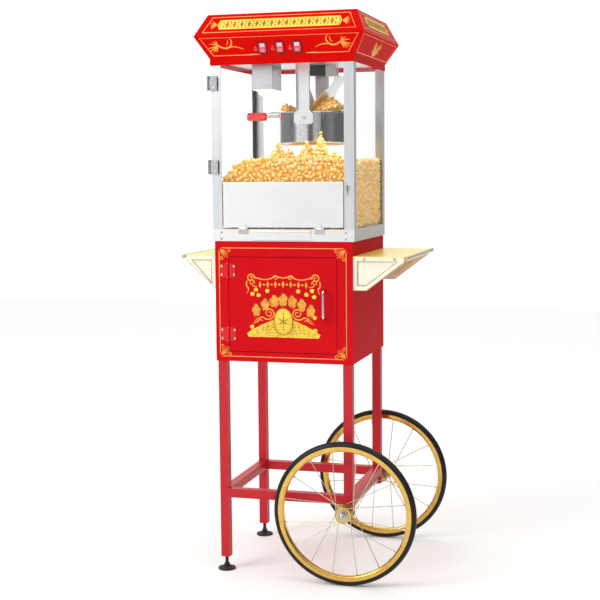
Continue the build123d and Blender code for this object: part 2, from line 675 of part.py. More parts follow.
def make_lamp():
    x0, x1, y0, y1, z0 = -99.0, -41.0, -150.0, -60.0, 1377.0
    t, bulb_r, bulb_len = 1.2, 16.0, 70.0
    shade = block(x0, x1, y0, y1, z0, ceiling_z)
    shade -= block(x0 + t, x1 - t, y0 + t, y1 - t, z0 - 1, ceiling_z - t)
    save("lamp_housing", shade)
    gap = t + 0.4
    lens = block(x0 + gap, x1 - gap, y0 + gap, y1 - gap, z0 - 1.0, z0 + 14)
    lens += Pos((x0 + x1) / 2, (y0 + y1) / 2, z0 - 1) * Rot(90, 0, 0) * Cylinder(bulb_r, bulb_len)
    save("lamp_lens", lens)


def make_popcorn_heap():
    """A heap that stands high against the panes and dips along the middle, where the kettle tips."""
    gap = 0.6
    xa = case_hw - post_wall - 0.4 - glass - gap
    y_front = -case_hd + 10.5
    y_back = case_hd - post_wall - 0.4 - glass - gap
    crest_f = [(-xa, 1108), (-164, 1150), (-140, 1172), (-90, 1186), (80, 1186), (xa, 1178)]
    valley = [(-xa, 1070), (-120, 1078), (40, 1082), (110, 1110), (xa, 1180)]

    stations = [(y_front, crest_f), (-150, crest_f), (-28, valley)]
    stations += [(28, valley), (150, crest_f), (y_back, crest_f)]
    xs = [-xa, -164, -140, -120, -90, 40, 80, 110, xa]
    tops = []

    def height(line, x):
        for (xl, zl), (xr, zr) in zip(line, line[1:]):
            if xl <= x <= xr:
                return zl + (zr - zl) * (x - xl) / (xr - xl)

    for y, line in stations:
        tops.append([(x, y, height(line, x)) for x in xs])
    faces = []
    for row_a, row_b in zip(tops, tops[1:]):
        for i in range(len(xs) - 1):
            a, b, c, d = row_a[i], row_a[i + 1], row_b[i + 1], row_b[i]
            faces.append(make_face(Polyline([a, b, c], close=True)))
            faces.append(make_face(Polyline([a, c, d], close=True)))
    floor_z = base_z1 + 0.4
    for row in (tops[0], tops[-1]):
        y = row[0][1]
        points = [(-xa, y, floor_z)] + row + [(xa, y, floor_z)]
        faces.append(make_face(Polyline(points, close=True)))
    for i in (0, -1):
        x = tops[0][i][0]
        points = [(x, y_front, floor_z)] + [row[i] for row in tops] + [(x, y_back, floor_z)]
        faces.append(make_face(Polyline(points, close=True)))
    corners = [(-xa, y_front), (xa, y_front), (xa, y_back), (-xa, y_back)]
    faces.append(make_face(Polyline([(x, y, floor_z) for x, y in corners], close=True)))
    save("popcorn_heap", Solid(Shell(faces)))


# ---------------------------------------------------------------- build
make_legs()
make_stretchers()
make_feet()
make_axle()
make_wheels()
make_cabinet()
make_cabinet_door()
cart_screws = make_door_hinges()
make_door_furniture()
cart_screws += make_shelves()
make_base()
make_case()
make_hood()
case_hinges = make_glass_door() + make_serving_panel()
save("case_hinge_brackets", *case_hinges)
make_panel_latch()
make_kettle()
make_lids()
make_hanger()
make_lamp()
make_popcorn_heap()
cart_screws += screw_heads([(x, z) for x in (-181, 181) for z in (961, 979)], -case_hd)
save("frame_screws", *cart_screws)
print("nodes:", len(os.listdir(parts_dir)), "frame_x:", round(frame_x, 3))
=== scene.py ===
import math
import random

import bpy
import numpy as np
from mathutils import Matrix, Vector


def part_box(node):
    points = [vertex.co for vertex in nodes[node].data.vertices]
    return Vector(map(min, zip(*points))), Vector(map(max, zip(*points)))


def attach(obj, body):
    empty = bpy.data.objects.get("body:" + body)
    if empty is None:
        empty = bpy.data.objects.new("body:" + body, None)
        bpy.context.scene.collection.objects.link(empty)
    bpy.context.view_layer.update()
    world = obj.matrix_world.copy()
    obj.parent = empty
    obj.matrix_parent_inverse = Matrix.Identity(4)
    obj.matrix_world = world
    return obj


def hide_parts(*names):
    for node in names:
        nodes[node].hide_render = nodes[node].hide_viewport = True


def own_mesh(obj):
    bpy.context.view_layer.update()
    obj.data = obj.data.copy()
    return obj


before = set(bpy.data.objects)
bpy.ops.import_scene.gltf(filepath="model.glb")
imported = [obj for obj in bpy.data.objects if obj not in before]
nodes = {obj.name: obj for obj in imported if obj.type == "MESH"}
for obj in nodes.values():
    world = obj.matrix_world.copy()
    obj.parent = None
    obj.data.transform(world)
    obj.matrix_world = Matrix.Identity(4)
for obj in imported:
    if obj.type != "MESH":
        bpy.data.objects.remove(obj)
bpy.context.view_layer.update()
mm = 0.001
print("cart loaded:", len(nodes), "parts")


# small helpers
def deselectAll():
    if bpy.context.object and bpy.context.object.mode != "OBJECT":
        bpy.ops.object.mode_set(mode="OBJECT")
    bpy.ops.object.select_all(action="DESELECT")


def pick(*objects):
    deselectAll()
    for one in objects:
        one.select_set(True)
    bpy.context.view_layer.objects.active = objects[0]


def setPlace(obj, place):
    # turns and moves a piece, then writes that into its mesh
    pick(obj)
    obj.matrix_world = place
    bpy.ops.object.transform_apply(location=True, rotation=True, scale=True)


def joined(name, objects):
    pick(*objects)
    if len(objects) > 1:
        bpy.ops.object.join()
    whole = bpy.context.object
    whole.name = name
    whole.data.name = name
    return whole


def useModifier(obj, kind, **settings):
    pick(obj)
    modifier = obj.modifiers.new(kind.title(), kind)
    for key, value in settings.items():
        setattr(modifier, key, value)
    bpy.ops.object.modifier_apply(modifier=modifier.name)


def finishPiece(obj, body, material, smoothAngle=40):
    pick(obj)
    bpy.ops.object.transform_apply(location=True, rotation=True, scale=True)
    if smoothAngle:
        bpy.ops.object.shade_smooth_by_angle(angle=math.radians(smoothAngle))
    obj.data.materials.clear()
    obj.data.materials.append(material)
    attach(obj, body)
    return obj


def meshObject(name, points, faces):
    mesh = bpy.data.meshes.new(name)
    mesh.from_pydata(points, [], faces)
    obj = bpy.data.objects.new(name, mesh)
    bpy.context.collection.objects.link(obj)
    return obj


def setTone(obj, values):
    # a number on each point, which the popcorn's colour reads
    tone = obj.data.attributes.new("grainTone", "FLOAT", "POINT")
    tone.data.foreach_set("value", np.asarray(values, np.float32))


def gather(name, placed, body, material, smoothAngle=40):
    # pieces with their places, laid there and joined into one
    for obj, place in placed:
        setPlace(obj, place)
    return finishPiece(joined(name, [obj for obj, _ in placed]), body, material, smoothAngle)


def hexColour(code):
    # sRGB hex to linear RGBA
    parts = [int(code[i:i + 2], 16) / 255 for i in (0, 2, 4)]
    return tuple(c / 12.92 if c <= 0.04045 else ((c + 0.055) / 1.055) ** 2.4 for c in parts) + (1.0,)


def addNode(material, kind, settings=None, links=None):
    # adds one node with its settings; links maps an input to a node, or to (node, output)
    tree = material.node_tree
    node = tree.nodes.new("ShaderNode" + kind)
    for key, value in (settings or {}).items():
        if key == "stops":
            ramp = node.color_ramp
            while len(ramp.elements) < len(value):
                ramp.elements.new(0.5)
            for element, (position, colour) in zip(ramp.elements, value):
                element.position = position
                element.color = colour if isinstance(colour, tuple) else (colour, colour, colour, 1)
        elif isinstance(key, int) or key in node.inputs:
            node.inputs[key].default_value = value
        else:
            setattr(node, key, value)
    for key, source in (links or {}).items():
        output = source[0].outputs[source[1]] if isinstance(source, tuple) else source.outputs[0]
        tree.links.new(output, node.inputs[key])
    return node


# the cabinet's middle and front in the frame, in millimetres
cabinetMiddle = -43.05
cabinetFront = -200.0

# camera, floor and lights
shot = {"place": (0.99335, -3.6713, 1.1546), "yaw": 15.88, "pitch": 5.75, "roll": -0.5, "lens": 78.015}


def addCamera():
    yaw = math.radians(shot["yaw"])
    pitch = math.radians(shot["pitch"])
    roll = math.radians(shot["roll"])
    ahead = Vector((-math.sin(yaw) * math.cos(pitch), math.cos(yaw) * math.cos(pitch), -math.sin(pitch)))
    level = Vector((math.cos(yaw), math.sin(yaw), 0))
    above = level.cross(ahead)
    right = level * math.cos(roll) + above * math.sin(roll)
    up = above * math.cos(roll) - level * math.sin(roll)
    bpy.ops.object.camera_add()
    camera = bpy.context.object
    turn = Matrix((right, up, -ahead)).transposed()
    camera.matrix_world = Matrix.Translation(shot["place"]) @ turn.to_4x4()
    camera.data.sensor_width = 36
    camera.data.lens = shot["lens"]
    camera.data.clip_start = 0.05
    bpy.context.scene.camera = camera


studio = {
    "floorSize": 14.0,
    "floorColour": "F6F6F5",
    # the soft sky from its left end to its right end, ahead of the cart and behind it: white, with grey flags
    # that put upright shadows into the metal
    "skyFront": [(0.0, 0.25), (0.10, 0.18), (0.17, 0.92), (0.43, 0.86), (0.50, 0.16), (0.60, 0.10),
                 (0.66, 0.55), (0.80, 0.45), (0.88, 0.08), (1.0, 0.22)],
    "skyBack": [(0.0, 0.25), (0.10, 0.30), (0.17, 1.12), (0.52, 1.12), (0.57, 0.5), (0.70, 0.5),
                (0.76, 0.08), (1.0, 0.12)],
    # half the width of the change between them, where the bright sky overhead begins and is full, its colour
    "skyTurn": 0.15, "skyRise": (0.45, 0.9), "overhead": (1.5, 1.5, 1.5, 1),
    "lights": [
        # name, place, aim, size, watts
        ("key", (-2.7, -3.0, 3.0), (0, 0, 0.9), (2.0, 2.0), 88),
        ("right", (1.9, -0.9, 3.9), (0.1, 0, 1.0), (1.8, 1.8), 12),
    ],
    # the case is lit from inside as well, by small warm lights that don't show
    "caseLights": [(-0.19, -0.13, 1.30), (0.135, -0.15, 1.27), (0.13, 0.12, 1.27), (0.04, -0.17, 1.41)],
    "caseWatts": 0.42,
    "caseRadius": 0.03,
    "caseColour": "FFF3DC",
}


def addStudio():
    bpy.context.scene.view_settings.view_transform = "Standard"
    world = bpy.data.worlds.new("soft sky")
    world.use_nodes = True
    world.node_tree.nodes.clear()
    toward = addNode(world, "TexCoord")
    axes = addNode(world, "SeparateXYZ", links={0: (toward, "Generated")})
    share = addNode(world, "MapRange", {"From Min": -1.0}, {"Value": (axes, 0)})
    ahead = addNode(world, "ValToRGB", {"stops": studio["skyFront"]}, {"Fac": share})
    behind = addNode(world, "ValToRGB", {"stops": studio["skyBack"]}, {"Fac": share})
    turn = studio["skyTurn"]
    side = addNode(world, "MapRange", {"From Min": -turn, "From Max": turn}, {"Value": (axes, 1)})
    around = addNode(world, "Mix", {"data_type": "RGBA"}, {0: side, 6: ahead, 7: behind})
    low, high = studio["skyRise"]
    height = addNode(world, "MapRange", {"From Min": low, "From Max": high}, {"Value": (axes, 2)})
    above = addNode(world, "Mix", {"data_type": "RGBA", 7: studio["overhead"]}, {0: height, 6: (around, 2)})
    sky = addNode(world, "Background", links={"Color": (above, 2)})
    addNode(world, "OutputWorld", links={"Surface": sky})
    bpy.context.scene.world = world

    deselectAll()
    bpy.ops.mesh.primitive_plane_add(size=studio["floorSize"])
    floor = bpy.context.object
    floor.name = "studio_floor"
    paint = bpy.data.materials.new("pale matt floor")
    paint.use_nodes = True
    shader = paint.node_tree.nodes["Principled BSDF"]
    shader.inputs["Base Color"].default_value = hexColour(studio["floorColour"])
    shader.inputs["Roughness"].default_value = 0.8
    floor.data.materials.append(paint)

    for name, place, aim, size, watts in studio["lights"]:
        bpy.ops.object.light_add(type="AREA", location=place)
        lamp = bpy.context.object
        lamp.name = "light_" + name
        lamp.data.shape = "RECTANGLE"
        lamp.data.size, lamp.data.size_y = size
        lamp.data.energy = watts
        lamp.rotation_euler = (Vector(aim) - Vector(place)).to_track_quat("-Z", "Y").to_euler()
    for place in studio["caseLights"]:
        bpy.ops.object.light_add(type="POINT", location=place)
        lamp = bpy.context.object
        lamp.name = "light_case"
        lamp.data.energy = studio["caseWatts"]
        lamp.data.color = hexColour(studio["caseColour"])[:3]
        lamp.data.shadow_soft_size = studio["caseRadius"]
        lamp.visible_camera = False
        lamp.visible_glossy = False
        lamp.visible_transmission = False


addCamera()
addStudio()
print("camera and studio set")


# materials
def newMaterial(name, **settings):
    material = bpy.data.materials.new(name)
    material.use_nodes = True
    material.node_tree.nodes.clear()
    shader = addNode(material, "BsdfPrincipled", settings)
    addNode(material, "OutputMaterial", links={"Surface": shader})
    return material, shader, (addNode(material, "TexCoord"), "Object")


def feed(material, shader, **links):
    for key, source in links.items():
        output = source[0].outputs[source[1]] if isinstance(source, tuple) else source.outputs[0]
        material.node_tree.links.new(output, shader.inputs[key.replace("_", " ")])


def noise(material, scale, detail, source):
    return addNode(material, "TexNoise", {"Scale": scale, "Detail": detail}, {"Vector": source})


def glossSpan(material, rough, source):
    return addNode(material, "MapRange", {"To Min": rough[0], "To Max": rough[1]}, {"Value": source})


def bumps(material, strength, depth, source):
    return addNode(material, "Bump", {"Strength": strength, "Distance": depth}, {"Height": source})


def twoTone(material, dark, light, source):
    # a colour that drifts between two close tones
    stops = [(0.3, hexColour(dark)), (0.7, hexColour(light))]
    return addNode(material, "ValToRGB", {"stops": stops}, {"Fac": source})


def sprayedPaint(name, light, dark, waveMm, bump, rough, coat, mirror=0.3):
    # powder coat or spray enamel: even colour with slow drifts, and the faint ripple called orange peel;
    # real peel is 2 to 3 mm and is drawn coarser so that it shows
    gloss = {"Coat Weight": coat, "Coat Roughness": 0.12, "Specular IOR Level": mirror}
    material, shader, at = newMaterial(name, **gloss)
    drift = noise(material, 5.0, 3.0, at)
    tint = twoTone(material, dark, light, drift)
    gloss = glossSpan(material, rough, drift)
    relief = bumps(material, bump, 0.0006, noise(material, 1000 / waveMm, 2.0, at))
    feed(material, shader, Base_Color=tint, Roughness=gloss, Normal=relief)
    return material


def brushedMetal(name, light, dark, grain, rough=(0.2, 0.38), bump=0.12, colourBy=0.5):
    # metal with fine parallel lines. grain is lines per metre along x, y and z: they run in the direction
    # with the small number, and equal numbers give a cloudy polish
    material, shader, at = newMaterial(name, Metallic=1.0)
    stretch = addNode(material, "Mapping", {"Scale": grain}, {"Vector": at})
    streak = {"Scale": 1.0, "Detail": 5.0, "Roughness": 0.6}
    lines = addNode(material, "TexNoise", streak, {"Vector": stretch})
    clouds = noise(material, 7.0, 2.0, at)
    both = addNode(material, "Math", {"operation": "MULTIPLY_ADD", 1: colourBy, 2: 0.25}, {0: lines})
    tint = twoTone(material, dark, light, both)
    mix = addNode(material, "Math", {"operation": "ADD"}, {0: lines, 1: clouds})
    span = {"From Min": 0.6, "From Max": 1.4, "To Min": rough[0], "To Max": rough[1]}
    gloss = addNode(material, "MapRange", span, {"Value": mix})
    relief = bumps(material, bump, 0.0003, lines)
    feed(material, shader, Base_Color=tint, Roughness=gloss, Normal=relief)
    return material


def plainPlastic(name, light, dark, grainMm, rough=(0.3, 0.5), bump=0.15, **settings):
    # moulded plastic or rubber: a fine spark-eroded grain, and slow changes of gloss
    material, shader, at = newMaterial(name, **settings)
    drift = noise(material, 30.0, 4.0, at)
    tint = twoTone(material, dark, light, drift)
    gloss = glossSpan(material, rough, drift)
    grain = addNode(material, "TexVoronoi", {"Scale": 1000 / grainMm}, {"Vector": at})
    relief = bumps(material, bump, 0.0004, (grain, "Distance"))
    feed(material, shader, Base_Color=tint, Roughness=gloss, Normal=relief)
    return material


def clearGlass(name, tint, smear, mirror):
    # thin float glass: light goes straight through, and the mirror in its faces grows towards grazing angles;
    # faint finger smears blur it
    pane = {"Metallic": 1.0, "Base Color": hexColour(tint), "Alpha": 0.12}
    material, shader, at = newMaterial(name, **pane)
    stain = noise(material, 9.0, 5.0, at)
    span = {"From Min": 0.45, "From Max": 0.8, "To Min": 0.0, "To Max": smear}
    blur = addNode(material, "MapRange", span, {"Value": stain})
    turned = addNode(material, "LayerWeight", {"Blend": 0.5})
    steep = addNode(material, "Math", {"operation": "POWER", 1: 4.0}, {0: (turned, "Facing")})
    share = addNode(material, "Math", {"operation": "MULTIPLY_ADD", 1: mirror, 2: 0.015}, {0: steep})
    feed(material, shader, Roughness=blur, Alpha=share)
    return material


# a number after the coat is how much the paint mirrors: next to none, so it stays deep red at a slant
redPaint = sprayedPaint("red powder coated steel", "CE171F", "C4121A", 7.0, 0.15, (0.3, 0.42), 0.0, 0.005)
hoodPaint = sprayedPaint("red gloss enamel on the hood", "D6100C", "CA0C08", 9.0, 0.12,
                         (0.2, 0.3), 0.0, 0.006)
legPaint = sprayedPaint("red powder coated tube", "C4202A", "B81822", 7.0, 0.2, (0.34, 0.48), 0.0)
hingePaint = sprayedPaint("red enamelled hinge steel", "E20E1B", "CC0A14", 5.0, 0.3, (0.2, 0.3), 0.1)
ivoryPaint = sprayedPaint("ivory stove enamel", "F6F0DE", "EEE7D0", 6.0, 0.2, (0.25, 0.4), 0.1)
goldPaint = brushedMetal("gold plated steel rim", "E8C46E", "C4953F", (60, 60, 60), (0.14, 0.26), 0.05)

stainless = brushedMetal("brushed stainless steel", "F2F3F3", "E2E4E5", (10, 10, 260),
                         (0.34, 0.46), 0.04, 0.35)
postMetal = brushedMetal("extruded satin aluminium", "E6E8EA", "D0D3D6", (260, 260, 5), (0.25, 0.4))
kettleMetal = brushedMetal("spun and polished stainless steel", "F4F4F2", "C4C6C8", (90, 90, 200),
                           (0.08, 0.2), 0.06)
chromeMetal = brushedMetal("chrome plate", "E2E4E6", "B9BDC1", (60, 60, 160), (0.05, 0.14), 0.04)
lampSteel = brushedMetal("deep drawn lamp can", "D2D4D6", "C2C5C8", (8, 8, 90), (0.26, 0.34), 0.02)
hangerSteel = brushedMetal("folded polished sheet", "EFF0F0", "E2E4E5", (20, 20, 160), (0.26, 0.36), 0.02)
zincMetal = brushedMetal("bright zinc plate", "D2D4D6", "9DA1A5", (300, 300, 120), (0.22, 0.38))
spokeMetal = brushedMetal("drawn spoke wire", "E4DCC2", "B5A57C", (150, 150, 150), (0.2, 0.32))
hubMetal = brushedMetal("turned brass", "DDC38A", "A98A4E", (120, 500, 120), (0.2, 0.36))
rodMetal = brushedMetal("champagne anodised rod", "E7D9A0", "BFAE74", (160, 10, 160), (0.2, 0.32))

blackPlastic = plainPlastic("black moulded ABS", "1B1B1D", "0E0E10", 2.0, (0.25, 0.42))
darkSteel = plainPlastic("black japanned motor casing", "3A3A3D", "1F1F22", 3.0, (0.35, 0.55), 0.2)
footRubber = plainPlastic("moulded black rubber", "252526", "151516", 2.5, (0.55, 0.75), 0.3)
tyreRubber = plainPlastic("vulcanised tyre rubber", "201E1D", "131211", 4.0, (0.34, 0.5), 0.3,
                          **{"Specular IOR Level": 0.25})
gripPlastic = plainPlastic("red phenolic grip", "CF1E33", "A91526", 3.0, (0.15, 0.28), 0.08,
                           **{"Coat Weight": 0.5})
rockerGlow = {"Emission Color": hexColour("FF3A50"), "Emission Strength": 0.25, "Coat Weight": 0.6}
rockerPlastic = plainPlastic("red translucent polycarbonate", "F03A52", "D81F38", 3.0, (0.12, 0.22), 0.05,
                             **rockerGlow)

windowGlass = clearGlass("clear float glass", "FCFEFD", 0.06, 0.2)
bulbGlass = plainPlastic("frosted bulb glass", "FFF6DE", "FFE9B8", 6.0, (0.3, 0.5), 0.05,
                         **{"Emission Color": hexColour("FFE3A6"), "Emission Strength": 1.6})

stripePaint = plainPlastic("gold signwriter's enamel", "FFB45E", "F59A45", 5.0, (0.3, 0.45), 0.1)
scrollPaint = plainPlastic("ochre gold signwriter's enamel", "F6B23C", "DE9428", 5.0, (0.3, 0.45), 0.1)
yellowPaint = plainPlastic("yellow signwriter's enamel", "FADB45", "E8BE28", 5.0, (0.3, 0.45), 0.1)
shadePaint = plainPlastic("dark ochre outline enamel", "B5761C", "8E5612", 5.0, (0.35, 0.5), 0.1)
# painted shade: grey-olive lines drawn into the shelf sides' pressings and along their edges
recessShadePaint = plainPlastic("painted grey-olive shade line in the pressing", "A89E7C", "948A68", 5.0, (0.4, 0.6), 0.1)
# pale ink for the printed rocker marks, and for the painted highlight on each rocker's upper half
inkAndHighlight = plainPlastic("pale pad-printed ink and painted highlight", "FBC4CE", "F3A8B6", 4.0, (0.3, 0.45), 0.05)
pinkPaint = plainPlastic("pink printed mark", "FF9AA0", "F58088", 4.0, (0.3, 0.45), 0.05)


def shelfLacquer():
    # brass-toned lacquer on steel sheet: smooth, a warm mirror that is broken by faint rolling marks
    material, shader, at = newMaterial("gold lacquered shelf steel", Metallic=0.15)
    stretch = addNode(material, "Mapping", {"Scale": (150, 4, 150)}, {"Vector": at})
    marks = noise(material, 1.0, 4.0, stretch)
    tint = twoTone(material, "F4D75C", "FBE272", marks)
    gloss = glossSpan(material, (0.26, 0.32), marks)
    relief = bumps(material, 0.03, 0.0002, marks)
    feed(material, shader, Base_Color=tint, Roughness=gloss, Normal=relief)
    return material


def poppedCorn():
    # popped maize: white starch foam with butter on it. Each grain has its own tone, and painted shade makes
    # its creases a deeper yellow; a faint glow is painted light for the light that wanders between the grains
    foamLook = {"Emission Color": hexColour("FFC25A"), "Emission Strength": 0.09, "Subsurface Weight": 0.25,
                "Subsurface Scale": 0.004, "Roughness": 0.6}
    material, shader, at = newMaterial("buttered popped maize", **foamLook)
    tone = addNode(material, "Attribute", {"attribute_name": "grainTone"})
    froth = {"Scale": 170.0, "Detail": 4.0, "Roughness": 0.65}
    foam = addNode(material, "TexNoise", froth, {"Vector": at})
    blend = addNode(material, "Math", {"operation": "MULTIPLY_ADD", 1: 0.55}, {0: foam, 2: (tone, "Fac")})
    butter = ((0.22, "FFF4CC"), (0.45, "FFE396"), (0.75, "FDCB62"), (1.0, "F2B850"))
    stops = [(share, hexColour(code)) for share, code in butter]
    tint = addNode(material, "ValToRGB", {"stops": stops}, {"Fac": blend})
    bubbles = addNode(material, "TexVoronoi", {"Scale": 260.0}, {"Vector": at})
    relief = bumps(material, 0.6, 0.0012, (bubbles, "Distance"))
    feed(material, shader, Base_Color=tint, Normal=relief)
    return material


shelfMetal = shelfLacquer()
cornFoam = poppedCorn()

# the finish of each slot, then the parts that have one of their own
slotMaterials = {
    "red_enamel": redPaint, "hinge_enamel": hingePaint, "ivory_enamel": ivoryPaint, "gold_enamel": goldPaint,
    "pull_enamel": chromeMetal, "latch_chrome": chromeMetal, "handle_chrome": chromeMetal,
    "steel_pin": zincMetal, "plated_screw": zincMetal, "champagne_rod": rodMetal, "brass_hub": hubMetal,
    "spoke_steel": spokeMetal, "stainless": stainless, "aluminium": postMetal, "kettle_steel": kettleMetal,
    "dark_housing": darkSteel, "black_plastic": blackPlastic, "foot_rubber": footRubber, "tyre": tyreRubber,
    "red_grip": gripPlastic, "rocker_red": rockerPlastic, "clear_glass": windowGlass,
    "lamp_glass": bulbGlass, "popcorn": cornFoam,
}
nodeMaterials = {
    "case_hinge_brackets": chromeMetal, "glass_door_hinge_leaves": chromeMetal, "lamp_housing": lampSteel,
    "kettle_hanger": hangerSteel, "kettle_lid_left": hangerSteel, "kettle_lid_right": hangerSteel,
    "shelf_plates": shelfMetal, "hood_shell": hoodPaint, "stretchers": legPaint,
    "leg_left_front": legPaint, "leg_left_back": legPaint,
    "leg_right_front": legPaint, "leg_right_back": legPaint,
}

for name, node in nodes.items():
    for one in node.material_slots:
        slotName = one.material.name.split(".")[0]
        one.material = nodeMaterials.get(name) or slotMaterials.get(slotName, redPaint)
        if slotName not in slotMaterials:
            print("no finish for slot", slotName, "on", name)
print("materials on", len(nodes), "parts")


# popcorn
corn = {
    # how many different grains there are, how coarse their lobes are and how far they stand out
    "shapes": 6, "lobeTexture": 0.72, "lobeDepth": 1.5,
    # radius of a grain, the spread of its size, its width and its height, and of its tone
    "radius": 0.0066, "size": (0.82, 1.2), "wide": (0.75, 1.3), "high": (0.7, 1.1), "spin": 6.28,
    # creaseShade: painted shade, how much darker each grain's creases are drawn
    "creaseShade": 0.5, "tone": (-0.08, 0.42),
    "layers": [(0.0060, 0.0098), (0.0148, 0.0118)],  # depth under the surface, gap between grains
    "triesPerPlace": 9, "perPiece": 2300,
    # small piles on the heap's front crest: x, y, height of the top, radius at the crest; then the height of
    # one ring, the gap between its grains, how far they stray, how far under the heap's top the lowest ring is
    # and how far over it grains may be
    "peaks": [(-0.066, -0.150, 1.236, 0.030), (-0.035, -0.158, 1.212, 0.022), (0.016, -0.150, 1.236, 0.030),
              (0.056, -0.150, 1.258, 0.026), (0.094, -0.152, 1.208, 0.026)],
    "peakStep": 0.0095, "peakGap": 0.0108, "peakDrift": 0.0012, "peakFoot": 0.006, "peakRoom": 0.1,
    # the core under the outer grains
    "coreDepth": -0.0165, "coreTone": 0.45, "lumpSize": 0.012, "lumpDepth": 0.005,
    "seed": 11,
}


def makeGrains():
    # a few popped grains, each a small sphere with its lobes pushed out by a cell texture; each is made at
    # another place in the texture, so they differ
    cells = bpy.data.textures.new("lobes", "VORONOI")
    cells.noise_scale = corn["lobeTexture"]
    cells.distance_metric = "DISTANCE"
    grains = []
    for i in range(corn["shapes"]):
        deselectAll()
        bpy.ops.mesh.primitive_ico_sphere_add(subdivisions=2, radius=1.0, location=(i * 3.3, i * 1.7, 0))
        grain = bpy.context.object
        bpy.ops.object.transform_apply(location=True)
        useModifier(grain, "DISPLACE", texture=cells, texture_coords="LOCAL", strength=corn["lobeDepth"],
                    mid_level=0.35)
        points = np.array([v.co for v in grain.data.vertices])
        points -= points.mean(0)
        reach = np.linalg.norm(points, axis=1)
        points /= np.percentile(reach, 90)
        faces = np.array([f.vertices for f in grain.data.polygons])
        # painted shade: points drawn in deep between the lobes, in the creases, get a darker tone
        creases = 1 - np.clip(np.linalg.norm(points, axis=1), 0, 1)
        grains.append((points, faces, creases))
        bpy.data.objects.remove(grain)
    return grains


def cornPiece(name, places, grains, chance, limits, body):
    # all grains of one piece are copied into one mesh
    points, faces, tones = [], [], []
    count = 0
    for place in places:
        shape, triangles, creases = grains[chance.integers(len(grains))]
        turn = np.array(Matrix.Rotation(chance.uniform(0, corn["spin"]), 3, chance.normal(size=3)))
        size = corn["radius"] * chance.uniform(*corn["size"])
        stretch = np.array([chance.uniform(*corn["wide"]), 1.0, chance.uniform(*corn["high"])])
        points.append((shape * stretch) @ turn.T * size + place)
        faces.append(triangles + count)
        # each grain's tone: painted shade in its creases, and a random tone of its own
        tones.append(creases * corn["creaseShade"] + chance.uniform(*corn["tone"]))
        count += len(shape)
    points = np.concatenate(points)
    if limits is not None:
        points = np.clip(points, limits[0], limits[1])
    faces = np.concatenate(faces)
    obj = meshObject(name, points.tolist(), faces.tolist())
    setTone(obj, np.concatenate(tones))
    return finishPiece(obj, body, cornFoam, 180)


def spread(triangles, gap, depth, chance):
    # places at least one gap apart on a surface, sunk under it by depth; none where it looks down
    a, b, c = triangles[:, 0], triangles[:, 1], triangles[:, 2]
    across = np.cross(b - a, c - a)
    area = np.linalg.norm(across, axis=1)
    outward = across / np.maximum(area, 1e-12)[:, None]
    keep = outward[:, 2] > -0.5
    a, b, c, area, outward = a[keep], b[keep], c[keep], area[keep], outward[keep]
    tries = int(area.sum() / 2 / gap ** 2 * corn["triesPerPlace"])
    which = chance.choice(len(a), tries, p=area / area.sum())
    u, v = chance.uniform(size=(2, tries))
    over = u + v > 1
    u[over], v[over] = 1 - u[over], 1 - v[over]
    spots = a[which] + (b - a)[which] * u[:, None] + (c - a)[which] * v[:, None] - outward[which] * depth
    taken = {}
    kept = []
    for spot in spots:
        cell = tuple(int(math.floor(s / gap)) for s in spot)
        near = [p for dx in (-1, 0, 1) for dy in (-1, 0, 1) for dz in (-1, 0, 1)
                for p in taken.get((cell[0] + dx, cell[1] + dy, cell[2] + dz), ())]
        if near and np.min(np.linalg.norm(np.array(near) - spot, axis=1)) < gap:
            continue
        taken.setdefault(cell, []).append(spot)
        kept.append(spot)
    return np.array(kept)


def meshTriangles(obj):
    mesh = obj.data
    mesh.calc_loop_triangles()
    points = np.array([v.co for v in mesh.vertices])
    corners = np.array([t.vertices for t in mesh.loop_triangles])
    return points[corners]


def makeHeap(grains):
    chance = np.random.default_rng(corn["seed"])
    heap = nodes["popcorn_heap"]
    low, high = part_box("popcorn_heap")
    limits = (np.array(low), np.array((high.x, high.y, high.z + corn["peakRoom"])))
    triangles = meshTriangles(heap)
    places = []
    for depth, gap in corn["layers"]:
        found = spread(triangles, gap, depth, chance)
        inside = ((found > limits[0] + depth * 0.6) & (found < limits[1] - depth * 0.4)).all(1)
        places.append(found[inside])
    for x, y, top, reach in corn["peaks"]:
        crest = high.z - corn["peakFoot"]
        rows = int((top - crest) / corn["peakStep"])
        for row in range(rows + 1):
            ring = reach * (1 - row / (rows + 0.6)) ** 1.4
            height = crest + row * corn["peakStep"]
            count = max(1, int(2 * math.pi * ring / corn["peakGap"]))
            for i in range(count):
                angle = 2 * math.pi * i / count + row
                shift = ring if count > 1 else 0
                spot = np.array([[x + shift * math.cos(angle), y + shift * math.sin(angle), height]])
                places.append(spot + chance.normal(0, corn["peakDrift"], (1, 3)))
            if count > 5:
                places.append(np.array([[x, y, height]]))
    places = np.concatenate(places)
    places = places[np.argsort(places[:, 1])]
    pieces = []
    for i in range(0, len(places), corn["perPiece"]):
        name = f"popcorn_grains_{len(pieces) + 1}"
        pieces.append(cornPiece(name, places[i:i + corn["perPiece"]], grains, chance, limits, "cart"))
    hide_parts("popcorn_heap")

    # what is under the outer grains: the heap's own shape, drawn in and roughened
    core = bpy.data.objects.new("popcorn_core", heap.data.copy())
    bpy.context.collection.objects.link(core)
    pick(core)
    bpy.ops.object.mode_set(mode="EDIT")
    bpy.ops.mesh.select_all(action="SELECT")
    bpy.ops.mesh.remove_doubles(threshold=0.0001)
    bpy.ops.mesh.subdivide(number_cuts=5)
    bpy.ops.object.mode_set(mode="OBJECT")
    useModifier(core, "DISPLACE", strength=corn["coreDepth"], mid_level=0.0)
    lumps = bpy.data.textures.new("lumps", "CLOUDS")
    lumps.noise_scale = corn["lumpSize"]
    useModifier(core, "DISPLACE", texture=lumps, texture_coords="LOCAL", strength=corn["lumpDepth"],
                mid_level=0.5)
    setTone(core, np.full(len(core.data.vertices), corn["coreTone"]))
    finishPiece(core, "cart", cornFoam, 180)
    print("heap:", len(places), "grains in", len(pieces), "pieces")


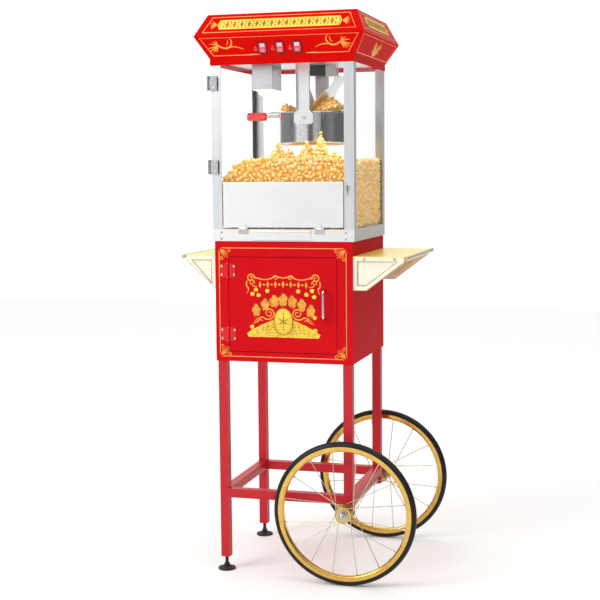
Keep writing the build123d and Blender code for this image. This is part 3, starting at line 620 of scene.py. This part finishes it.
kettleCorn = {
    # x of the bowl's middle and its radius, the flange round it and how far grains stay above that, the gap
    # between grains, and how many places are tried
    "bowl": (-0.007, 0.082), "flangeTop": 1.320, "clear": 0.0075, "gap": 0.0092, "tries": 9000,
    # a shutting lid would press its grains down from this far under their floor, to this share of their height
    "pressFrom": 0.008, "pressed": 0.3,
    # x span, y reach, height of the floor and of the crest, where the crest runs, and how many grains
    "right": {"x": (0.010, 0.088), "y": 0.078, "z": (1.306, 1.358), "crest": 0.045, "count": 260},
    "left": {"x": (-0.108, -0.062), "y": 0.062, "z": (1.306, 1.342), "crest": -0.083, "count": 130},
}


def makeKettleCorn(grains):
    chance = np.random.default_rng(corn["seed"] + 1)
    for side in ("right", "left"):
        heap = kettleCorn[side]
        low, high = heap["z"]
        halfSpan = (heap["x"][1] - heap["x"][0]) / 2
        places = []
        for _ in range(kettleCorn["tries"]):
            if len(places) >= heap["count"]:
                break
            x = chance.uniform(*heap["x"])
            y = chance.uniform(-heap["y"], heap["y"])
            z = chance.uniform(*heap["z"])
            drop = abs(x - heap["crest"]) / (halfSpan * 1.2)
            roof = low + (high - low) * (1 - drop ** 2) * (1 - (y / heap["y"]) ** 2 * 0.8)
            spot = np.array((x, y, z))
            overFlange = math.hypot(x - kettleCorn["bowl"][0], y) > kettleCorn["bowl"][1]
            if z > roof or (overFlange and z < kettleCorn["flangeTop"] + kettleCorn["clear"]):
                continue
            if any(np.linalg.norm(spot - p) < kettleCorn["gap"] for p in places):
                continue
            places.append(spot)
        obj = cornPiece(f"kettle_popcorn_{side}", places, grains, chance, None, "kettle")
        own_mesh(obj)
    print("kettle popcorn done")


grainShapes = makeGrains()
makeHeap(grainShapes)
makeKettleCorn(grainShapes)


# painted ornament
# strokes are drawn flat, x across and y up in millimetres, then laid on a panel and sunk half into it;
# they are round in section, pressed to this share of their width
strokeFlat = 0.35


def panel(origin, right, up):
    right, up = Vector(right).normalized(), Vector(up).normalized()
    turn = Matrix((right, up, right.cross(up))).transposed().to_4x4()
    return Matrix.Translation(Vector(origin) * mm) @ turn @ Matrix.Diagonal((mm, mm, mm, 1))


def strokeObject(strokes):
    # strokes: (points, widths, round) with a width for each point, or one width for all
    line = bpy.data.curves.new("strokes", "CURVE")
    line.dimensions = "3D"
    line.bevel_depth = 0.5
    line.bevel_resolution = 1
    line.use_fill_caps = True
    line.resolution_u = 5
    for points, widths, smooth in strokes:
        spline = line.splines.new("NURBS" if smooth and len(points) > 2 else "POLY")
        spline.points.add(len(points) - 1)
        for i, (x, y) in enumerate(points):
            spline.points[i].co = (x, y, 0, 1)
            spline.points[i].radius = widths[i] if isinstance(widths, (list, tuple)) else widths
        if spline.type == "NURBS":
            spline.order_u = 3
            spline.use_endpoint_u = True
    obj = bpy.data.objects.new("strokes", line)
    bpy.context.collection.objects.link(obj)
    pick(obj)
    bpy.ops.object.convert(target="MESH")
    obj = bpy.context.object
    setPlace(obj, Matrix.Diagonal((1, 1, strokeFlat, 1)))
    return obj


def filledObject(outlines, thick=0.5, step=0.012):
    # closed outlines, each one face with a little thickness, and each a hair above the last
    points, faces = [], []
    for k, outline in enumerate(outlines):
        level = (k % 24) * step
        faces.append(list(range(len(points), len(points) + len(outline))))
        points += [(x, y, level) for x, y in outline]
    obj = meshObject("fill", points, faces)
    useModifier(obj, "SOLIDIFY", thickness=thick, offset=0)
    return obj


def raised(obj, height):
    obj.location.z = height
    pick(obj)
    bpy.ops.object.transform_apply(location=True)
    return obj


def frontPanel(y=cabinetFront):
    return panel((cabinetMiddle, y, 0), (1, 0, 0), (0, 0, 1))


def onOval(centre, halfWide, halfHigh, degrees):
    angle = math.radians(degrees)
    return (centre[0] + halfWide * math.cos(angle), centre[1] + halfHigh * math.sin(angle))


def polar(centre, reach, degrees):
    return onOval(centre, reach, reach, degrees)


def leaf(base, degrees, length, width, bend=0.0):
    # a brush stroke that swells and runs out to a point
    middle = polar(base, length * 0.5, degrees + bend)
    tip = polar(base, length, degrees)
    return ([base, middle, tip], [width * 0.35, width, width * 0.12], True)


def curl(centre, size, start, turns, width):
    # a spiral, thick where it leaves the line and thin at its eye
    steps = 12
    along = [i / steps for i in range(steps + 1)]
    points = [polar(centre, size * (1 - 0.8 * t), start + 360 * turns * t) for t in along]
    return (points, [width * (1 - 0.55 * t) for t in along], True)


def mirrored(strokes):
    return [([(-px, py) for px, py in points], widths, smooth) for points, widths, smooth in strokes]


def layOn(name, obj, place, body, material, smoothAngle=50):
    return gather(name, [(obj, place)], body, material, smoothAngle=smoothAngle)


def oval(centre, halfWide, halfHigh, count=40):
    return [onOval(centre, halfWide, halfHigh, 360 * i / count) for i in range(count)]


# cabinet front: a striped frame round the door, with a spray of leaves in each corner
cabinetFrame = {"left": -188.0, "right": 182.0, "low": 627.0, "high": 935.0, "width": 1.9, "inset": 34.0}


def cornerSpray(x, y, sx, sy, size):
    # the two frame lines end in curls at the corner, with a fan of leaves turned in between them
    fan = ((18, 0.62), (33, 0.86), (57, 0.86), (72, 0.62))
    out = [leaf((size * 0.10, size * 0.10), degrees, size * length, 3.4) for degrees, length in fan]
    out.append(leaf((size * 0.05, size * 0.05), 45, size * 1.1, 3.0))
    run = [(size, 0), (size * 0.7, 0), (size * 0.42, size * 0.02), (size * 0.2, size * -0.04)]
    for points in (run, [(py, px) for px, py in run]):
        out.append((points, [1.9, 2.4, 2.8, 1.0], True))
    out.append(curl((size * 0.80, size * 0.20), size * 0.20, 260, 1.2, 2.2))
    out.append(curl((size * 0.20, size * 0.80), size * 0.20, 190, -1.2, 2.2))
    return [([(x + sx * px, y + sy * py) for px, py in points], widths, smooth)
            for points, widths, smooth in out]


def makeCabinetStripes():
    f = cabinetFrame
    gap = f["inset"]
    lines, sprays = [], []
    for y in (f["high"], f["low"]):
        lines.append(([(f["left"] + gap, y), (f["right"] - gap, y)], f["width"], False))
    for x in (f["left"], f["right"]):
        lines.append(([(x, f["low"] + gap), (x, f["high"] - gap)], f["width"], False))
    for x, sx in ((f["left"], 1), (f["right"], -1)):
        for y, sy in ((f["low"], 1), (f["high"], -1)):
            sprays += cornerSpray(x, y, sx, sy, gap)
    front = frontPanel()
    layOn("cabinet_pinstripes", strokeObject(lines), front, "cart", stripePaint)
    layOn("cabinet_corner_sprays", strokeObject(sprays), front, "cart", scrollPaint)


# door: a scrolled frame over a heap of popcorn with an oval plaque. No words: a row of lozenges and an arch
# of popped shapes stand where a maker's wording would
doorArt = {
    "low": 686.0, "halfWide": 104.0, "heapHigh": 52.0, "plaque": (0.0, 729.0, 26.0, 36.0),
    # single grains that fly round the arch
    "loose": ((-92, 713), (93, 706), (-90, 806), (-80, 818), (-72, 803), (-46, 815), (44, 815), (68, 806),
              (84, 817), (90, 800), (91, 742)),
}


def popShape(x, y, wide, high, chance, lobes=5):
    # a flat popped grain: rounds set in a ring, and one in the middle
    rounds = [oval((x, y), wide * 0.3, high * 0.3, 10)]
    for i in range(lobes):
        angle = 360 / lobes * i + 90 + chance.uniform(-12, 12)
        part = chance.uniform(0.20, 0.26)
        rounds.append(oval(onOval((x, y), wide * 0.28, high * 0.28, angle), wide * part, high * part, 12))
    return rounds


def popLines(x, y, wide, high, chance):
    # two short creases inside an open outline
    turn = chance.uniform(0, 90)
    lines = []
    for first, length in ((turn, 110), (turn + 150, 140)):
        points = [onOval((x, y), wide * 0.45, high * 0.45, first + length * k / 4) for k in range(5)]
        lines.append((points, [0.5, 1.2, 1.4, 1.2, 0.5], True))
    for extra in (0, 130):
        inner = polar((x, y), wide * 0.08, turn + extra)
        middle = polar(inner, wide * 0.14, turn + extra + 25)
        outer = polar(inner, wide * 0.24, turn + extra)
        lines.append(([inner, middle, outer], [0.5, 1.3, 0.4], True))
    return lines


def makeDoorArt():
    chance = random.Random(5)
    art = doorArt
    front = frontPanel()
    px, py, wide, high = art["plaque"]

    # the heap: a filled triangle with scalloped edges, and creases drawn on it
    shapes, creases = [], []
    half, low, top = art["halfWide"], art["low"], art["low"] + art["heapHigh"]
    shapes.append([(-half + 6, low + 5), (half - 6, low + 5), (half * 0.42, top - 16), (px + 8, top),
                   (px - 8, top), (-half * 0.42, top - 16)])
    edge = []
    steps = 15
    for i in range(steps + 1):
        t = i / steps
        rise = (top - low - 8) * t ** 0.82
        edge += [(-half + 5 + (half - 12) * t, low + 6 + rise), (half - 5 - (half - 12) * t, low + 6 + rise)]
        edge += [(-half + 6 + (half - 6) * t, low + 4), (half - 6 - (half - 6) * t, low + 4)]
    for x, y in edge:
        shapes += popShape(x, y, 15, 13, chance)
    for row in range(6):
        y = low + 6 + row * 8.5
        reach = (half - 10) * (1 - row / 6.5)
        count = int(reach * 2 / 11.5)
        for i in range(count):
            x = -reach + 2 * reach * (i + 0.5) / count + chance.uniform(-2, 2)
            creases += popLines(x, y + chance.uniform(-1.5, 1.5), 11, 10, chance)
    for x, y in art["loose"]:
        shapes += popShape(x, y, 13, 12, chance)
    # an arch of large popped grains
    big = []
    for i in range(-3, 4):
        x, y = i * 26.5, 790 - abs(i) ** 1.8 * 4.2
        w, h = 28 - abs(i), 34
        big += popShape(x, y, w, h, chance)
        creases += popLines(x, y + h * 0.1, w, h, chance) + popLines(x, y - h * 0.16, w * 0.8, h, chance)
    layOn("door_art_popcorn", filledObject(shapes), front, "cabinet_door", yellowPaint, 0)
    layOn("door_art_arch", filledObject(big), front, "cabinet_door", scrollPaint, 0)
    plate = filledObject([oval((px, py), wide, high)], 1.3)
    layOn("door_art_plaque", plate, front, "cabinet_door", yellowPaint, 0)
    ring = oval((px, py), wide + 1.5, high + 1.5)
    inner = oval((px, py), wide - 4, high - 5)
    marks = [(ring + ring[:1], 2.6, False), (inner + inner[:1], 1.3, False)]
    marks += [leaf((px, py), 60 * k + 30, 17, 6.5) for k in range(6)]
    marks += [leaf((px, py + 22 * sign), 90 + turn, 8, 3.4) for sign in (-1, 1) for turn in (-90, 0, 90, 180)]
    lines = raised(strokeObject(marks + creases), 0.5)
    layOn("door_art_creases", lines, front, "cabinet_door", shadePaint)


def makeDoorScrolls():
    side = [
        # swirls beside the plaque
        curl((41, 752), 15, 200, -1.5, 3.8),
        ([(27, 750), (30, 738), (50, 733), (64, 745), (86, 728)], [1.5, 3.4, 4.0, 3.6, 1.0], True),
        ([(60, 730), (68, 736), (76, 727), (90, 722)], [1.2, 3.0, 3.2, 1.0], True),
        # crest line with end curls and hanging leaves
        ([(6, 852), (22, 859), (34, 849), (60, 845), (82, 853)], [2.0, 3.6, 3.0, 2.8, 3.0], True),
        curl((95, 851), 13, 190, -1.4, 4.0),
        curl((92, 838), 9, 200, -1.2, 3.0),
        ([(106, 843), (110, 828), (98, 820), (107, 806)], [3.2, 4.4, 3.2, 1.0], True),
        ([(90, 832), (84, 824), (74, 828)], [3.0, 4.0, 1.0], True),
        ([(0, 850), (8, 857), (16, 851)], [2.0, 3.4, 2.0], True),
        curl((22, 852), 8, 0, 1.2, 3.0),
    ]
    strokes = side + mirrored(side)
    # a garland under the crest: lozenges with beads between them
    for i in range(-6, 7):
        x = i * 11.2
        y = 834 - abs(i) * 0.3
        if i % 2 == 0:
            strokes.append(([(x, y - 9), (x, y), (x, y + 9)], [1.0, 9.0, 1.0], False))
        else:
            strokes.append(([(x - 3, y), (x, y), (x + 3, y)], [3.0, 6.4, 3.0], False))
    layOn("door_art_scrolls", strokeObject(strokes), frontPanel(), "cabinet_door", scrollPaint)


# hood: striped frames on its eight faces, a yellow banner, and scrolls at the corners of the lower front
hood = {
    # y and height of the band's edge, the rim and the top of the front, which runs along x; then the same for
    # a side, as distances from the middle
    "x": ((-200.0, 1462.0), (-233.2, 1522.0), (-191.8, 1584.0)),
    "y": ((206.8, 1462.0), (242.5, 1522.0), (213.0, 1584.0)),
    # frames: half width at the foot and at the head, height of the foot and of the head
    "frontLower": (193.0, 226.0, 9.0, 62.0), "frontUpper": (218.0, 196.0, 12.0, 64.0),
    "sideLower": (186.0, 214.0, 9.0, 62.0), "sideUpper": (208.0, 176.0, 12.0, 60.0), "line": 2.4,
    # banner: half length on the front and on each side, foot, middle and head, how far its pointed ends
    # stand out, and the step of the rope on it
    "bannerHalf": (171.0, 128.0, 128.0), "banner": (21.0, 37.5, 54.0), "notch": 7.0, "ropeStep": 10.5,
    "triangles": (-68, -19, 31),
}


def slope(low, high, across, outward):
    # the panel of one hood face, its origin at the middle of its lower edge
    run, lowZ = low
    lean, rise = high[0] - run, high[1] - lowZ
    if across == "x":
        return panel((cabinetMiddle, -outward * run, lowZ), (-outward, 0, 0), (0, -outward * lean, rise))
    return panel((cabinetMiddle + outward * run, 0, lowZ), (0, outward, 0), (outward * lean, 0, rise))


def hoodFace(across, outward):
    band, rim, top = hood[across]
    return {"lower": slope(band, rim, across, outward), "upper": slope(rim, top, across, outward)}


def quad(lowHalf, highHalf, low, high):
    # a frame that follows a face which widens or narrows upwards
    points = [(-lowHalf, low), (lowHalf, low), (highHalf, high), (-highHalf, high), (-lowHalf, low)]
    return (points, hood["line"], False)


def hoodScroll(size):
    # a spray: long leaves, a stem that turns back, and a tail
    out = []
    for degrees, length in ((196, 0.5), (214, 0.5), (232, 0.42), (252, 0.34)):
        out.append(leaf((0, 0), degrees, size * length, 6.0, 10))
    for degrees, length in ((170, 0.42), (140, 0.3), (108, 0.24)):
        out.append(leaf((0, 0), degrees, size * length, 5.0, -10))
    stem = [(0, 0), (0.28, -0.2), (0.62, -0.08), (0.7, 0.24), (0.58, 0.3)]
    fork = [(0.4, -0.02), (0.52, 0.12), (0.5, 0.26)]
    tail = [(0.5, -0.12), (0.84, -0.02), (1.2, -0.24)]
    twigs = ((stem, [4.4, 5.6, 4.8, 3.6, 1.4]), (fork, [1.4, 3.6, 1.2]), (tail, [2.4, 4.2, 1.0]))
    for points, widths in twigs:
        out.append(([(size * px, size * py) for px, py in points], widths, True))
    return out


def moved(strokes, dx, dy):
    return [([(px + dx, py + dy) for px, py in points], widths, smooth) for points, widths, smooth in strokes]


def makeHoodFrames(front, back, sides):
    # lower front: the frame's lower line stops short of the switches with pointed ends
    lowHalf, highHalf, low, high = hood["frontLower"]
    broken = [(-66, low), (-lowHalf, low), (-highHalf, high), (highHalf, high), (lowHalf, low), (82, low)]
    lower = [(broken, hood["line"], False),
             ([(-96, low), (-74, low + 2), (-56, low)], [2.0, 5.0, 0.8], True),
             ([(112, low), (90, low + 2), (72, low)], [2.0, 5.0, 0.8], True)]
    stripes = [(strokeObject(lower), front["lower"])]
    frames = [(front["upper"], "frontUpper"), (back["lower"], "frontLower"), (back["upper"], "frontUpper")]
    for side in sides:
        frames += [(side["lower"], "sideLower"), (side["upper"], "sideUpper")]
    for place, frameName in frames:
        stripes.append((strokeObject([quad(*hood[frameName])]), place))
    gather("hood_pinstripes", stripes, "cart", stripePaint)


def makeHoodScrolls(front, sides):
    spray = moved(hoodScroll(62), -176, 40)
    scrolls = [(strokeObject(spray + mirrored(spray)), front["lower"])]
    fan = ((24, 42), (40, 48), (56, 46), (74, 38))
    heart = [leaf((1.5, 11), degrees, length, 10.0, 10) for degrees, length in fan]
    heart.append(curl((28, 44), 10, 250, 1.2, 6.0))
    ends = [leaf((180, 37), degrees, 20, 5.0, 6) for degrees in (-44, -22, 0, 22, 44)]
    sideEnds = moved(ends, -44, 0)
    scrolls.append((strokeObject(ends + mirrored(ends)), front["upper"]))
    for side in sides:
        scrolls.append((strokeObject(heart + mirrored(heart)), side["lower"]))
        scrolls.append((strokeObject(sideEnds + mirrored(sideEnds)), side["upper"]))
    gather("hood_scrolls", scrolls, "cart", scrollPaint)


def bannerRope(half, low, middle, high):
    # lozenges with leaves between them, in place of words, and a pointed line at each end
    rope = []
    count = int(half / hood["ropeStep"])
    for i in range(-count + 1, count):
        x = i * half / count
        if i % 2 == 0:
            rope.append(([(x, low), (x, middle), (x, high)], [1.4, 9.0, 1.4], False))
            rope += [leaf((x, middle), side, 8, 4.0) for side in (0, 180)]
        else:
            rope += [leaf((x, middle + sign * 3), 90 * sign, 9, 5.0) for sign in (-1, 1)]
    for sign in (-1, 1):
        ends = [(sign * (half - 3), low), (sign * (half + 3), middle), (sign * (half - 3), high)]
        rope.append((ends, 1.8, False))
    return rope


def makeHoodBanners(front, sides):
    low, middle, high = hood["banner"]
    notch = hood["notch"]
    plates, marks = [], []
    for face, half in zip((front, *sides), hood["bannerHalf"]):
        outline = [(-half, low), (half, low), (half + notch, middle), (half, high), (-half, high),
                   (-half - notch, middle)]
        plates.append((filledObject([outline], 0.6), face["upper"]))
        rope = strokeObject(bannerRope(half, low + 5, middle, high - 5))
        marks.append((raised(rope, 0.3), face["upper"]))
    gather("hood_banners", plates, "cart", yellowPaint, smoothAngle=0)
    gather("hood_banner_ropes", marks, "cart", shadePaint)


def makeHoodArt():
    front, back = hoodFace("x", -1), hoodFace("x", 1)
    sides = (hoodFace("y", 1), hoodFace("y", -1))
    makeHoodFrames(front, back, sides)
    makeHoodScrolls(front, sides)
    makeHoodBanners(front, sides)

    # a small printed triangle left of each switch
    hints = [([(x - 4, 22), (x, 34), (x + 4, 22), (x - 4, 22)], 1.6, False) for x in hood["triangles"]]
    obj = strokeObject(hints)
    setPlace(obj, front["lower"])
    finishPiece(obj, "cart", pinkPaint)


# shelf sides: painted shade, a dark line in the corner of each pressed recess, and one round the outer edge
gussetLine = {
    # where the sides' outer faces, top and foot are, the height of the tip's nose, the cabinet wall, the border
    "y": 196.0, "top": 912.5, "low": 819.5, "nose": 14.0, "wall": 200.1, "border": 12.0,
    # side, tip of the shelf, flat length at its foot
    "sides": ((1, 342.6, 38.0), (-1, 288.6, 2.0)),
}


def makeGussetLines():
    g = gussetLine
    parts = []
    for side, tip, flat in g["sides"]:
        wall = g["wall"]
        noseTop = g["top"] - g["nose"]
        fall = (noseTop - g["low"]) / (tip - wall - flat)
        lift = g["border"] * math.hypot(1, fall)
        sunkLow, sunkHigh = g["low"] + g["border"] + 2, g["top"] - g["border"]
        xLow = max(wall + flat + (g["border"] + 2 - lift) / fall, wall + g["border"] + 1)
        xHigh = wall + flat + (sunkHigh - g["low"] - lift) / fall
        inner = wall + g["border"]
        recess = [(inner, sunkLow), (xLow, sunkLow), (xHigh, sunkHigh), (inner, sunkHigh), (inner, sunkLow)]
        edge = [(wall + 1, g["low"] + 1), (wall + flat, g["low"] + 1), (tip - 1, noseTop)]
        lines = [([(side * x, z) for x, z in recess], 2.6, False),
                 ([(side * x, z) for x, z in edge], 1.6, False)]
        for y in (-g["y"], g["y"]):
            parts.append((strokeObject(lines), frontPanel(y)))
    gather("shelf_side_shading", parts, "cart", recessShadePaint)


# rocker marks in pale ink: a ring printed on the lower half, and a printed bar on the upper half,
# which sits on a pale panel that is a painted highlight
rockers = {
    # x of each rocker
    "left": -91.1, "middle": -41.55, "right": 7.95,
    # y and z of each half's lower and upper edge
    "upper": ((-215.4, 1486.9), (-222.1, 1500.1)), "lower": ((-211.1, 1472.7), (-215.4, 1486.9)),
    "highlightHalf": 6.6, "ring": 2.9,
}


def makeRockerMarks():
    half, reach = rockers["highlightHalf"], rockers["ring"]
    for side in ("left", "middle", "right"):
        places, lengths = [], []
        for part in ("upper", "lower"):
            (y0, z0), (y1, z1) = rockers[part]
            places.append(panel((rockers[side], y0, z0), (1, 0, 0), (0, y1 - y0, z1 - z0)))
            lengths.append(math.hypot(y1 - y0, z1 - z0))
        low, high = lengths[0] * 0.16, lengths[0] * 0.9
        # painted highlight: a pale panel over most of the upper half, for the light on its slant
        paleHighlight = filledObject([[(-half, low), (half, low), (half, high), (-half, high)]], 0.3)
        bar = strokeObject([([(0, lengths[0] * 0.3), (0, lengths[0] * 0.72)], 1.6, False)])
        circle = oval((0, lengths[1] * 0.5), reach, reach, 16)
        ring = strokeObject([(circle + circle[:1], 1.2, False)])
        parts = [(paleHighlight, places[0]), (bar, places[0]), (ring, places[1])]
        gather(f"rocker_marks_and_highlight_{side}", parts, f"rocker_{side}", inkAndHighlight)


makeCabinetStripes()
makeDoorArt()
makeDoorScrolls()
makeHoodArt()
makeRockerMarks()
makeGussetLines()
print("painted ornament done")


# wheels
wheel = {
    # x and height of the axles, and how far each wheel is from the cart's middle
    "x": 142.55, "z": 203.0, "y": 248.6,
    # the lacing: where each spoke leaves the hub's flanges and where it meets the rim
    "spokes": 16, "lacing": 62, "flangeReach": 20.5, "flangeY": 20.5, "flangeStep": 2.9,
    "rimReach": 176.5, "rimStep": 1.5,
    # radius of a nut at each end, its length, and how far back from the rim it sits
    "nut": (2.3, 1.6, 8.0), "nutBack": 4.5,
}


def atAngle(reach, angle, y):
    return Vector((reach * math.cos(angle), y, reach * math.sin(angle)))


def makeNipples():
    # a small tapered nut on each spoke where it enters the rim, in line with its spoke
    w = wheel
    for side, sign in (("front", 1), ("back", -1)):
        nuts = []
        deselectAll()
        wide, narrow, long = [size * mm for size in w["nut"]]
        bpy.ops.mesh.primitive_cone_add(vertices=8, radius1=wide, radius2=narrow, depth=long)
        first = bpy.context.object
        centre = Vector((w["x"], -sign * w["y"], w["z"]))
        for i in range(w["spokes"]):
            rimAngle = 2 * math.pi * (i + 0.5) / w["spokes"]
            flange = -1 if i % 2 == 0 else 1
            turn = 1 if (i // 2) % 2 == 0 else -1
            hubAngle = rimAngle + turn * math.radians(w["lacing"])
            hubY = sign * (flange * w["flangeY"] + turn * w["flangeStep"])
            hubEnd = atAngle(w["flangeReach"], hubAngle, hubY)
            rimEnd = atAngle(w["rimReach"], rimAngle, sign * turn * w["rimStep"])
            along = (rimEnd - hubEnd).normalized()
            nut = first.copy()
            nut.data = first.data.copy()
            bpy.context.collection.objects.link(nut)
            spin = (-along).to_track_quat("Z", "Y").to_matrix().to_4x4()
            nuts.append((nut, Matrix.Translation((centre + rimEnd - along * w["nutBack"]) * mm) @ spin))
        bpy.data.objects.remove(first)
        gather(f"spoke_nipples_{side}", nuts, f"wheel_{side}", spokeMetal)


makeNipples()
print("wheel details done")
